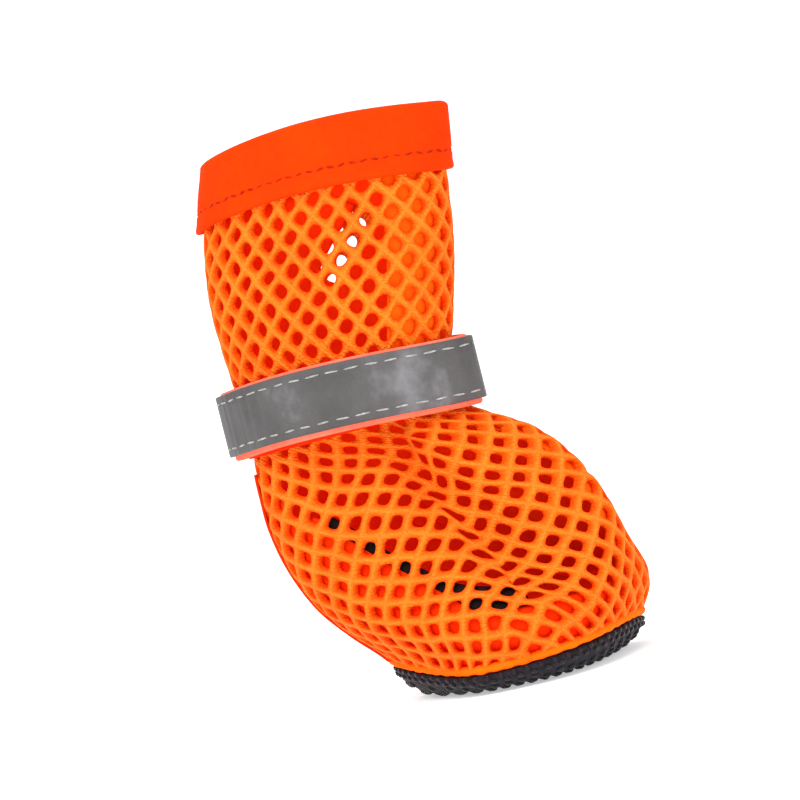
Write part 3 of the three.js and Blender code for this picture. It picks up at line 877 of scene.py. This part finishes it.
def collar_profile():
    """Outer leg, round fold and inner leg, with rounded lower edges and a dip along the stitches."""
    outer, gap = SEAM_GAP + BAND_THICKNESS, SEAM_GAP
    inner_gap = -NET_THICKNESS - SEAM_GAP
    inner = inner_gap - BAND_THICKNESS
    corners = [rim_corner(outer - 0.3, -BAND_OUTSIDE, 0.05),
               rim_corner(outer, -BAND_OUTSIDE + 0.25, 0.06)]
    for rise, dip in ((-8.9, 0), (-8.2, 0.08), (-7.2, 0.05), (STITCH_RISE, 0.26), (-6.2, 0.05),
                      (-4.6, 0), (-3.0, 0), (-1.4, 0.02)):
        corners.append(rim_corner(outer - dip, rise, 0.06))
    middle, half = (outer + inner) / 2, (outer - inner) / 2
    crown = SEAM_GAP + BAND_THICKNESS
    for degrees in range(0, 181, 18):
        turn = math.radians(degrees)
        corners.append(rim_corner(middle + half * math.cos(turn), crown * math.sin(turn), 0.02))
    for rise in (-BAND_INSIDE / 2, -BAND_INSIDE + 0.2):
        corners.append(rim_corner(inner, rise))
    corners += [rim_corner(inner + 0.3, -BAND_INSIDE), rim_corner(inner_gap, -BAND_INSIDE),
                rim_corner(inner_gap, -BAND_INSIDE / 2), rim_corner(inner_gap, gap),
                rim_corner(gap, gap), rim_corner(gap, -BAND_OUTSIDE / 2),
                rim_corner(gap, -BAND_OUTSIDE)]
    return corners


ring_piece("collar_tape", "collar_band", BINDING, collar_profile())


def collar_face(angle, rise):
    """The collar's outer face, at the bottom of the dip that the stitches lie in."""
    return net_point(angle, rim_height(angle) + rise, SEAM_GAP + BAND_THICKNESS - 0.2)


angles = even_steps(lambda a: collar_face(a, STITCH_RISE), -np.pi, np.pi, 1.75, closed=True)
collar_row = stitches_on(collar_face, angles, np.full(len(angles), STITCH_RISE), 1.3, 0.42, 0.13, 0.3)
add_beads("collar_stitches", "collar_band", "binding", RED_THREAD, *collar_row)


def wall_corner(offset, height_of):
    """A corner of a section that follows the net at a height given by the angle."""
    return lambda angle: net_point(angle, height_of(angle), offset)


def band_profile(inner, outer, foot, top, rows):
    """Outer face upwards, inner face downwards, with softened edges."""
    edge = min(0.25, (outer - inner) / 2)
    corners = [wall_corner(outer - edge, foot), wall_corner(outer, lambda a: foot(a) + edge)]
    for share in np.linspace(0, 1, rows)[1:-1]:
        corners.append(wall_corner(outer, lambda a, s=share: blend_of(foot(a), top(a), s)))
    corners += [wall_corner(outer, lambda a: top(a) - edge), wall_corner(outer - edge, top),
                wall_corner(inner, top)]
    for share in np.linspace(1, 0, rows)[1:-1]:
        corners.append(wall_corner(inner, lambda a, s=share: blend_of(foot(a), top(a), s)))
    return corners + [wall_corner(inner, foot)]


ring_piece("ankle_tape", "ankle_band", ANKLE_TAPE,
           band_profile(SEAM_GAP, 0.9, ankle_foot, lambda a: ANKLE_TOP + 0 * a, 8))

# Inside the foot: cloth over the lowest rows of the net, and the sewn edge on the sole
COUNTER_TOE = 12.0        # height of the cloth's top edge at the toe
COUNTER_TURN = 5.3        # x where the edge starts to rise towards the heel
COUNTER_RISE = 0.72       # millimetres up for each millimetre back
COUNTER_SHARPNESS = 0.8
COUNTER_LIMIT = 32.0


def counter_top(angle):
    """Top edge of the cloth inside the foot: level at the toe, then a softly bent line rising to the
    heel. A few rounds settle the height and the x of the net at that height on each other."""
    top = 14.0 + 0 * angle
    for _ in range(8):
        x = net_point(angle, top)[..., 0]
        behind = np.logaddexp(0, (COUNTER_TURN - x) * COUNTER_SHARPNESS) / COUNTER_SHARPNESS
        top = 0.5 * top + 0.5 * np.minimum(COUNTER_TOE + COUNTER_RISE * behind, COUNTER_LIMIT)
    return top


COUNTER_INSIDE, COUNTER_OUTSIDE = -1.9, -1.45
ring_piece("heel_counter", "upper", SEAM_TAPE,
           band_profile(COUNTER_INSIDE, COUNTER_OUTSIDE, lambda a: net_foot(a) + 0.2, counter_top, 24))

# A strip of painted shadow just inside the foot's wall, along the cloth's top edge
EDGE_TALL, EDGE_OUTSIDE, EDGE_INSIDE = 4.5, -1.32, -1.55
EDGE_FROM, EDGE_TO = 60.0, 114.0       # degrees from the toe


def add_painted_shadow_strip(side, label):
    """A near-black narrow strip of painted shadow along the top of the cloth inside the foot, on one
    side. Its height is that of half a sine wave raised to a power under one, so its ends are blunt."""
    steps, rows = 60, 8
    turn = side * np.radians(np.linspace(EDGE_FROM, EDGE_TO, steps))[:, None]
    rise = np.concatenate([np.linspace(0.1, EDGE_TALL, rows), np.linspace(EDGE_TALL, 0.1, rows)])[None]
    offset = np.repeat([EDGE_OUTSIDE, EDGE_INSIDE], rows)[None]
    taper = np.sin(np.linspace(0, np.pi, steps))[:, None] ** 0.4
    points = net_point(turn, counter_top(turn) + rise * (0.1 + 0.9 * taper), offset)
    return add_piece(f"painted_shadow_strip_{label}", "sole", PAINTED_SHADOW_TAPE, points)


def seam_corner(degrees):
    """A corner of the round sewn edge where the net meets the sole."""
    turn = math.radians(degrees)

    def corner(angle):
        """The point at an angle on a circle that swells a little by two sine waves."""
        swell = 1 + 0.08 * np.sin(46 * angle) + 0.05 * np.sin(31 * angle + 1)
        point = net_point(angle, net_foot(angle) + 0.55, -0.55 + 0.80 * math.cos(turn) * swell)
        point[..., 2] += 0.72 * math.sin(turn) * swell
        return point
    return corner


# The sewn edge takes the lining's orange copy in painted light
ring_piece("foot_edge", "upper", LINING_PAINTED_LIT,
           [seam_corner(degrees) for degrees in range(0, 360, 36)], steps=420)

# Lining: thin cloth inside the left wall and the back, in two panels whose edges lap at the side and part
# a little halfway up the shaft. A strip at the front turn is orange as painted light; the two panels are
# red as painted shade
LINING_OUTSIDE, LINING_INSIDE = -1.30, -1.42
LINING_TURN, LINING_EDGE = 13.0, 90.0
FRONT_SHAFT, FRONT_FOOT = -50.0, -8.0
BACK_SHAFT, BACK_FOOT = 200.0, 228.0
PART_HEIGHT, PART_SPREAD, PART_ANGLE, LAP_ANGLE = 73.0, 5.6, 12.5, 4.0
PART_LEAN = 2.8           # degrees the parted place leans towards the toe for each millimetre up


def parted_edge(side):
    """Angle of a lapped edge at a height; it stands off from the lap by a bell curve, and the parted
    place leans towards the toe."""
    def edge(level):
        """The angle in degrees at a height."""
        bell = np.exp(-(((level - PART_HEIGHT) / PART_SPREAD) ** 4))
        parted = (PART_ANGLE - 0.7 * (level - PART_HEIGHT)) * bell - LAP_ANGLE
        lean = -PART_LEAN * (level - PART_HEIGHT) * bell
        return LINING_EDGE + lean + side * (parted + 1.5 * np.sin(level * 0.6))
    return edge


def sloped_edge(foot, shaft):
    """Angle of an upright edge that lies further round on the shaft than on the foot."""
    return lambda level: blend_of(foot, shaft, smooth(level, 36.0, 50.0))


def add_lining(name, material, first_edge, second_edge, inset=0.0):
    """A thin closed sheet between two upright edges, which are angles given by the height. The grid
    runs up the outer face and down the inner face."""
    columns, rows = 50, 70
    share = np.linspace(0, 1, rows)
    across = np.linspace(0, 1, columns)[:, None]
    height = np.concatenate([share, share[::-1]])[None]
    offset = np.repeat([LINING_OUTSIDE, LINING_INSIDE], rows)[None]
    level = blend_of(8.0, RIM_HEIGHT - 1.0, height)
    angle = np.radians(blend_of(first_edge(level), second_edge(level), across))
    level = blend_of(net_foot(angle) + 0.6, RIM_HEIGHT - 1.0, height)
    points = net_point(angle, level, offset - inset)
    uv = np.stack(np.broadcast_arrays(across * 60, height * 80), -1)
    return add_piece(name, "upper", material, points, uv=uv)


# Painted shadow: a near-black strip inside the foot's right wall
add_painted_shadow_strip(-1, "right")
add_lining("lining_turn", LINING_PAINTED_LIT, sloped_edge(FRONT_FOOT, FRONT_SHAFT),
           lambda z: LINING_TURN + 0 * z)
add_lining("lining_front", LINING, lambda z: LINING_TURN - 2 + 0 * z, parted_edge(-1), 0.14)
add_lining("lining_back", LINING, parted_edge(1), sloped_edge(BACK_FOOT, BACK_SHAFT))

# Heel: plain cloth with a seam up the centre back
PATCH_FOOT, PATCH_TOP, PATCH_MARGIN = 4.5, 4.0, 0.6
HEEL_OUTSIDE, HEEL_INSIDE = 0.42, 0.04
SEAM_DEPTH, SEAM_BREADTH = 0.22, 0.075


def heel_surface(across, share, offset=HEEL_OUTSIDE):
    """A point of the heel's cloth: across runs from -1 to 1, share from the sole to the ankle. The
    seam up the middle is a groove, a bell curve of across."""
    foot = net_foot(np.pi) + PATCH_MARGIN
    height = blend_of(foot, ANKLE_FOOT - PATCH_MARGIN, share)
    groove = SEAM_DEPTH * np.exp(-((across / SEAM_BREADTH) ** 2)) * (offset > HEEL_INSIDE)
    return back_point(across * blend_of(PATCH_FOOT, PATCH_TOP, share), height, offset - groove)


def add_heel_cloth():
    """Two faces joined round all four edges: a ring goes across the outer face, over the edge, and
    back across the inner face."""
    rows, columns = 60, 61
    across = np.concatenate([np.linspace(-1, 1, columns), np.linspace(1, -1, columns)])
    offset = np.repeat([HEEL_OUTSIDE, HEEL_INSIDE], columns)
    share = np.linspace(0, 1, rows)
    points = heel_surface(across[None], share[:, None], offset[None])
    uv = np.stack(np.broadcast_arrays(across[None] * 6, share[:, None] * 34), -1)
    return add_piece("heel_cloth", "heel_patch", HEEL_CLOTH, points, uv=uv)


def add_heel_stitches(side, label):
    """A row of stitches up the heel's cloth, at a share of its half width."""
    steps = even_steps(lambda s: heel_surface(np.full_like(s, abs(side)), s), 0.02, 0.98, 1.9)
    place, up, out = frames_on(lambda s, a: heel_surface(a, s), steps, np.full(len(steps), side))
    sizes = np.tile([0.72, 0.22, 0.16], (len(steps), 1))
    outwards = np.where(out[:, :1] < 0, out, -out)
    add_beads(f"heel_stitches_{label}", "heel_patch", "binding", RED_THREAD, place, up, outwards, sizes)


add_heel_cloth()
add_heel_stitches(-0.2, "right")
add_heel_stitches(0.2, "left")


# Strap: one loop of webbing, with its free end on the left
def loop_section(start, stop, steps, low, high, inner_of, outer_of, edge, rows=5):
    """Points and cloth map of a strip: angle steps by a closed section that runs up outside and down
    inside, with its outer corners cut by the edge."""
    degrees = np.linspace(start, stop, steps)
    rises = np.linspace(low, high, rows)
    inner, outer = inner_of(degrees), outer_of(degrees)
    section = [(low, outer - edge)] + [(r, outer) for r in np.clip(rises, low + edge, high - edge)]
    section += [(high, outer - edge), (high, inner)] + [(r, inner) for r in rises[::-1][1:-1]]
    section += [(low, inner)]
    turn = np.radians(degrees)
    points = np.stack([strap_point(turn, rise, offset) for rise, offset in section], axis=1)
    length = np.concatenate([[0], np.cumsum(np.linalg.norm(np.diff(points[:, 2], axis=0), axis=-1))])
    across = np.array([rise for rise, _ in section])
    uv = np.stack(np.broadcast_arrays(length[:, None], across[None]), -1)
    return points, uv


HALF_STRAP = STRAP_WIDTH / 2
points, uv = loop_section(FREE_END + 0.5, FREE_END + 359.5, 420, -HALF_STRAP, HALF_STRAP,
                          lambda d: 0 * d, lambda d: strap_depth((d + 180) % 360 - 180), 0.3)
add_piece("strap_webbing", "strap", WEBBING, points, uv=uv)

# Film: reflective tape sewn on the strap with a row of stitches along each edge
FILM_START, FILM_WIDTH, FILM_THICKNESS, FILM_DROP = -177.0, 9.8, 0.5, 0.4
FILM_TOP = HALF_STRAP - FILM_DROP
FILM_LOW = FILM_TOP - FILM_WIDTH
STITCH_MARGIN = 1.25
CRINKLE = 0.10


def film_lift(degrees):
    """Distance of the film from the inside of the strap, with soft crinkles: two sine waves
    multiplied."""
    turn = np.radians(degrees)
    crinkle = CRINKLE * np.sin(turn * 23 + 1) * np.sin(turn * 9)
    return strap_depth(degrees) + SEAM_GAP + np.abs(crinkle)


def film_face(angle, rise):
    """A point of the film's outer face."""
    return strap_point(angle, rise, film_lift(np.degrees(angle)) + FILM_THICKNESS)


def add_film_stitches(rise, label):
    """A row of stitches round the film at a rise above the strap's middle."""
    turns = even_steps(lambda a: film_face(a, np.full_like(a, rise)), np.radians(FILM_START + 2),
                       np.radians(FREE_END - 4), 3.2)
    row = stitches_on(film_face, turns, np.full(len(turns), rise), 2.5, 0.30, 0.10, lean=0.04)
    add_beads(f"tape_stitches_{label}", "reflective_tape", "webbing", GREY_THREAD, *row)


points, uv = loop_section(FILM_START, FREE_END - 1.5, 360, FILM_LOW, FILM_TOP,
                          lambda d: film_lift(d) - 0.15, lambda d: film_lift(d) + FILM_THICKNESS, 0.15)
add_piece("reflective_film", "reflective_tape", FILM, points, uv=uv)
add_film_stitches(FILM_LOW + STITCH_MARGIN, "lower")
add_film_stitches(FILM_TOP - STITCH_MARGIN, "upper")


# Sole: coated cloth, flat in the middle and curled up to the net's edge, with dots all over it
SOLE_MIDDLE = np.array([1.0, 0.0])
DOT_RISE = 0.42
DOT_PITCH = 2.25
DOTS_TO = 0.955           # share of the way to the sole's edge
EDGE_DOT_PITCH = 2.2


def curl_of(share):
    """How far the sole has curled up a share of the way out: a square from where its flat ends."""
    return (np.maximum(share - SOLE_FLAT, 0) / (1 - SOLE_FLAT)) ** 2


def sole_point(angle, share, rise):
    """A point a share of the way from the sole's middle to the net's foot line."""
    angle, share, rise = np.broadcast_arrays(angle, share, rise)
    edge = net_point(angle, net_foot(angle))[..., :2]
    flat = SOLE_MIDDLE + (edge - SOLE_MIDDLE) * share[..., None]
    return np.concatenate([flat, (edge_lift(angle) * curl_of(share) + rise)[..., None]], -1)


def add_sole():
    """Rings from the middle of the underside, round the edge, to the middle of the top."""
    angle = np.arange(240) * 2 * np.pi / 240
    under = [(s, DOT_RISE) for s in (0.02, 0.2, 0.4, 0.55, 0.7, 0.78, 0.85, 0.91, 0.96)]
    rim = [(0.985, DOT_RISE + 0.05), (0.997, DOT_RISE + 0.25), (1.0, 0.6 * SOLE_EDGE),
           (0.998, SOLE_EDGE)]
    top = [(s, blend_of(SOLE_EDGE, SOLE_THICKNESS, min((0.96 - s) / 0.3, 1)))
           for s in (0.96, 0.9, 0.82, 0.7, 0.4, 0.02)]
    levels = under + rim + top
    points = np.stack([sole_point(angle, np.array(s), np.array(r)) for s, r in levels])
    return add_piece("sole_cloth", "sole", SOLE_CLOTH, points)


add_sole()


def sole_under(flat):
    """Underside points below flat places, with the share of the way to the edge."""
    angle = np.linspace(-np.pi, np.pi, 1441)
    edge = net_point(angle, net_foot(angle))[..., :2] - SOLE_MIDDLE
    bearing = np.unwrap(np.arctan2(edge[:, 1], edge[:, 0]))
    away = flat - SOLE_MIDDLE
    turn = np.arctan2(away[:, 1], away[:, 0])
    at = np.interp(turn, bearing, angle)
    reach = np.interp(turn, bearing, np.hypot(edge[:, 0], edge[:, 1]))
    share = np.hypot(away[:, 0], away[:, 1]) / reach
    return np.column_stack([flat, edge_lift(at) * curl_of(share) + DOT_RISE]), share


def add_sole_dots():
    """Dots in a hexagonal pattern on the underside, and rows of the same dots up the edge."""
    basis = DOT_PITCH * np.array([[1.0, 0.0], [0.5, math.sqrt(3) / 2]])
    flat = lattice(basis, (-26, -24), (28, 24), np.array([0.0, 0.0]))
    centre, share = sole_under(flat)
    kept = share < DOTS_TO
    flat, centre = flat[kept], centre[kept]
    step = 0.05
    slopes = [(sole_under(flat + shift)[0] - sole_under(flat - shift)[0])[:, 2] / (2 * step)
              for shift in np.array([[step, 0], [0, step]])]
    out = unit(np.column_stack([*slopes, -np.ones(len(flat))]))
    along = unit(np.cross(out, np.tile([0, 1.0, 0], (len(flat), 1))))
    groups = [(centre, along, out)]
    for row_shift, rise, share_at in ((0.0, 1.15, 0.999), (0.5, 0.45, 0.992)):
        turns = even_steps(lambda a: sole_point(a, np.full_like(a, 1.0), np.full_like(a, rise)),
                           -np.pi, np.pi, EDGE_DOT_PITCH, closed=True)
        turns = turns + row_shift * (turns[1] - turns[0])
        centre = sole_point(turns, np.full_like(turns, share_at), np.full_like(turns, rise))
        nearby = sole_point(turns + 0.01, np.full_like(turns, share_at), np.full_like(turns, rise))
        along = unit(nearby - centre)
        out = unit(np.cross(along, np.tile([0, 0, 1.0], (len(turns), 1))))
        out = unit(out + np.array([0, 0, -0.15 if rise > 0.5 else -0.9]))
        groups.append((centre, along, out))
    centre, along, out = (np.concatenate(parts) for parts in zip(*groups))
    sizes = np.tile([0.66, 0.60, DOT_RISE], (len(centre), 1))
    sizes[len(flat):] = [0.52, 0.44, 0.30]
    sizes[:, :2] *= RANDOM.uniform(0.94, 1.05, (len(centre), 1))
    return add_beads("sole_dots", "sole", "sole_fabric", GRIP, centre, along, out, sizes, 10, 6)


add_sole_dots()


# Stage: a pale floor that curves up behind, soft lights, and the camera
FLOOR_GLOW = 0.45


def add_stage():
    """Floor and backdrop in one sheet: flat, then a quarter circle, then upright."""
    bend, depth, half = 0.5, 1.2, 3.0
    turn = np.linspace(0, np.pi / 2, 24)
    along = np.concatenate([[-2.5], depth + bend * np.sin(turn), [depth + bend]])
    up = np.concatenate([[0.0], bend * (1 - np.cos(turn)), [3.0]])
    side = np.array([-half, half])
    toward = np.array([-math.cos(math.radians(VIEW_TURN)), math.sin(math.radians(VIEW_TURN))])
    across = np.array([toward[1], -toward[0]])
    points = np.array([[*(a * toward + s * across), z] for a, z in zip(along, up) for s in side])
    mesh = bpy.data.meshes.new("floor")
    mesh.from_pydata(points.tolist(), [], grid_faces(len(along), 2).tolist())
    floor = bpy.data.objects.new("floor", mesh)
    bpy.context.scene.collection.objects.link(floor)
    material, _, shader = new_material("floor_paper", roughness=0.9, specular=0.1)
    shader.inputs["Base Color"].default_value = (0.93, 0.93, 0.93, 1)
    shader.inputs["Emission Color"].default_value = (1, 1, 1, 1)
    shader.inputs["Emission Strength"].default_value = FLOOR_GLOW
    mesh.materials.append(material)
    mesh.polygons.foreach_set("use_smooth", np.ones(len(mesh.polygons), bool))


def add_light(name, place, size, power):
    """A round white soft light that faces the boot."""
    light = bpy.data.lights.new(name, "AREA")
    light.shape = "DISK"
    light.size = size
    light.energy = power
    holder = bpy.data.objects.new(name, light)
    holder.location = place
    holder.rotation_mode = "QUATERNION"
    holder.rotation_quaternion = (AIM - Vector(place)).to_track_quat("-Z", "Y")
    bpy.context.scene.collection.objects.link(holder)


VIEW_TURN = 68.0         # from the toe's direction, round the boot's right side
VIEW_RISE = 1.0
VIEW_ROLL = 14.0
VIEW_DISTANCE = 0.60
VIEW_WIDTH = 0.125
SENSOR = 36.0
AIM = Vector((-0.0075, 0.0, 0.0462))


def view_direction(turn, rise):
    """The direction from the boot to a place round its right side."""
    turn, rise = math.radians(turn), math.radians(rise)
    return Vector((math.cos(turn) * math.cos(rise), -math.sin(turn) * math.cos(rise), math.sin(rise)))


def add_camera():
    """The camera, on the line through the aim, rolled about its own axis."""
    camera = bpy.data.cameras.new("camera")
    camera.lens = SENSOR * VIEW_DISTANCE / VIEW_WIDTH
    camera.sensor_width = SENSOR
    holder = bpy.data.objects.new("camera", camera)
    back = view_direction(VIEW_TURN, VIEW_RISE)
    holder.location = AIM + back * VIEW_DISTANCE
    holder.rotation_mode = "QUATERNION"
    roll = Quaternion((0, 0, 1), math.radians(-VIEW_ROLL))
    holder.rotation_quaternion = (-back).to_track_quat("-Z", "Y") @ roll
    bpy.context.scene.collection.objects.link(holder)
    bpy.context.scene.camera = holder


add_stage()
add_camera()
add_light("key_light", view_direction(100, 50) * 0.9, 0.7, 6.5)
add_light("fill_light", view_direction(30, 20), 0.8, 2.4)
add_light("top_light", (0.1, 0.1, 1.1), 0.9, 4.5)
world = bpy.data.worlds.new("studio")
world.use_nodes = True
world.node_tree.nodes["Background"].inputs["Color"].default_value = (1, 1, 1, 1)
world.node_tree.nodes["Background"].inputs["Strength"].default_value = 0.55
bpy.context.scene.world = world
bpy.context.scene.view_settings.view_transform = "Standard"
